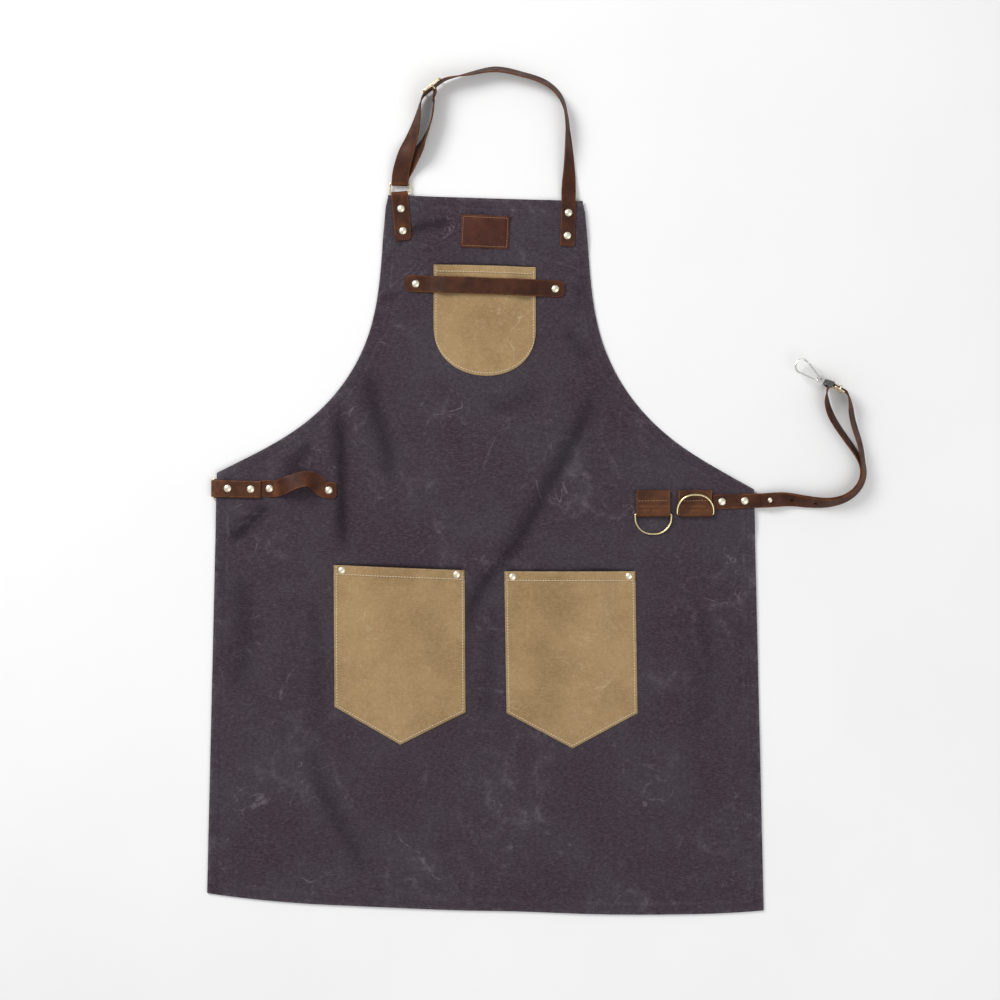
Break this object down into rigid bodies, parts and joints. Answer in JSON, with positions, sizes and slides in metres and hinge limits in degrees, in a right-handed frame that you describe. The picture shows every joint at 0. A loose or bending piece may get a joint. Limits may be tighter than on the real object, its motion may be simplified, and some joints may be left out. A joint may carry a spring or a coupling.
{
  "type": "butcher apron",
  "caption": "Canvas butcher apron with a bib, leather neck and waist straps, a swivel snap hook, two hip pockets, a chest pocket, a towel loop and D-rings.",
  "frame": {"origin": "middle of the bottom hem's edge, on the surface that the apron lies on", "axes": "+X to the apron's right as it is looked at, +Y from the hem towards the bib, +Z out of the apron's front"},
  "size_m": [0.8066, 1.038, 0.0265],
  "materials": {
    "canvas": "waxed, matt",
    "canvas_hem": "waxed, matt",
    "pocket_canvas": "matt",
    "strap_leather": "oiled, satin",
    "tab_leather": "oiled, satin",
    "patch_leather": "oiled, satin",
    "brass": "polished",
    "steel": "satin",
    "nickel": "bright"
  },
  "bodies": {
    "apron": {"apron_panel": "canvas", "armhole_hem_left": "canvas_hem", "armhole_hem_right": "canvas_hem", "bib_hem": "canvas_hem", "bottom_hem": "canvas_hem", "side_hem_left": "canvas_hem", "side_hem_right": "canvas_hem", "chest_pocket": "pocket_canvas", "chest_pocket_hem": "pocket_canvas", "hip_pocket_left": "pocket_canvas", "hip_pocket_left_hem": "pocket_canvas", "hip_pocket_right": "pocket_canvas", "hip_pocket_right_hem": "pocket_canvas", "leather_patch": "patch_leather", "chest_tool_strap": "strap_leather", "towel_loop": "strap_leather", "neck_tab": "strap_leather", "waist_tab": "tab_leather", "d_ring_tab_inner": "tab_leather", "d_ring_tab_outer": "tab_leather", "neck_strap_anchor": "strap_leather", "waist_strap_anchor": "strap_leather", "neck_tab_rivets": "brass", "neck_strap_rivets": "brass", "chest_strap_rivets": "brass", "waist_tab_rivets": "brass", "towel_loop_rivets": "brass", "hip_pocket_rivets_left": "brass", "hip_pocket_rivets_right": "brass", "waist_strap_rivets": "brass"},
    "neck_loop": {"neck_ring": "brass", "neck_strap": "strap_leather", "neck_strap_return": "strap_leather"},
    "neck_slider": {"neck_slider_frame": "brass", "neck_slider_bar": "brass", "neck_strap_end": "strap_leather", "neck_strap_end_rivet": "brass"},
    "waist_ring": {"waist_ring": "brass"},
    "d_ring_inner": {"d_ring_inner": "brass"},
    "d_ring_outer": {"d_ring_outer": "brass"},
    "waist_strap": {"waist_strap_inner": "strap_leather", "waist_strap_outer": "strap_leather", "stud_head": "brass", "stud_screw": "brass"},
    "waist_slider": {"waist_slider_frame": "brass", "waist_slider_bar": "brass"},
    "hook_eye": {"hook_swivel_eye": "nickel"},
    "hook": {"hook_body": "nickel", "hook_gate_pin": "nickel", "hook_gate_spring": "steel"},
    "hook_gate": {"hook_gate": "nickel"}
  },
  "joints": [
    {"name": "neck_loop_lift", "type": "hinge", "parent": "apron", "child": "neck_loop", "pos_m": [-0.105, 0.8766, 0.0046], "axis": [0.9995, -0.031, 0], "range_deg": [0, 120]},
    {"name": "neck_slider_adjust", "type": "slide", "parent": "neck_loop", "child": "neck_slider", "axis": [-0.7901, -0.613, 0], "range_m": [-0.005, 0.005]},
    {"name": "waist_ring_swing", "type": "hinge", "parent": "apron", "child": "waist_ring", "pos_m": [-0.3328, 0.5163, 0.00255], "axis": [0, 1, 0], "range_deg": [0, 300]},
    {"name": "d_ring_inner_swing", "type": "hinge", "parent": "apron", "child": "d_ring_inner", "pos_m": [0.205, 0.485, 0.00805], "axis": [-1, 0, 0], "range_deg": [0, 165]},
    {"name": "d_ring_outer_swing", "type": "hinge", "parent": "apron", "child": "d_ring_outer", "pos_m": [0.2564, 0.485, 0.00805], "axis": [1, 0, 0], "range_deg": [0, 170]},
    {"name": "waist_strap_lift", "type": "hinge", "parent": "apron", "child": "waist_strap", "pos_m": [0.333, 0.5015, 0.0059], "axis": [0, -1, 0], "range_deg": [0, 120]},
    {"name": "waist_slider_adjust", "type": "slide", "parent": "waist_strap", "child": "waist_slider", "axis": [0.8601, -0.5101, 0], "range_m": [-0.0015, 0.002]},
    {"name": "hook_eye_swing", "type": "hinge", "parent": "waist_strap", "child": "hook_eye", "pos_m": [0.42104, 0.64256, 0.0133], "axis": [0, 0, 1], "range_deg": [-25, 25]},
    {"name": "hook_swivel", "type": "hinge", "parent": "hook_eye", "child": "hook", "pos_m": [0.409, 0.6497, 0.0133], "axis": [-0.8601, 0.5101, 0], "continuous": true},
    {"name": "hook_gate_open", "type": "hinge", "parent": "hook", "child": "hook_gate", "pos_m": [0.409, 0.6497, 0.0133], "axis": [0, 0, 1], "range_deg": [0, 22], "stiffness_Nm_per_rad": 0.02, "springref_deg": -17.19}
  ]
}
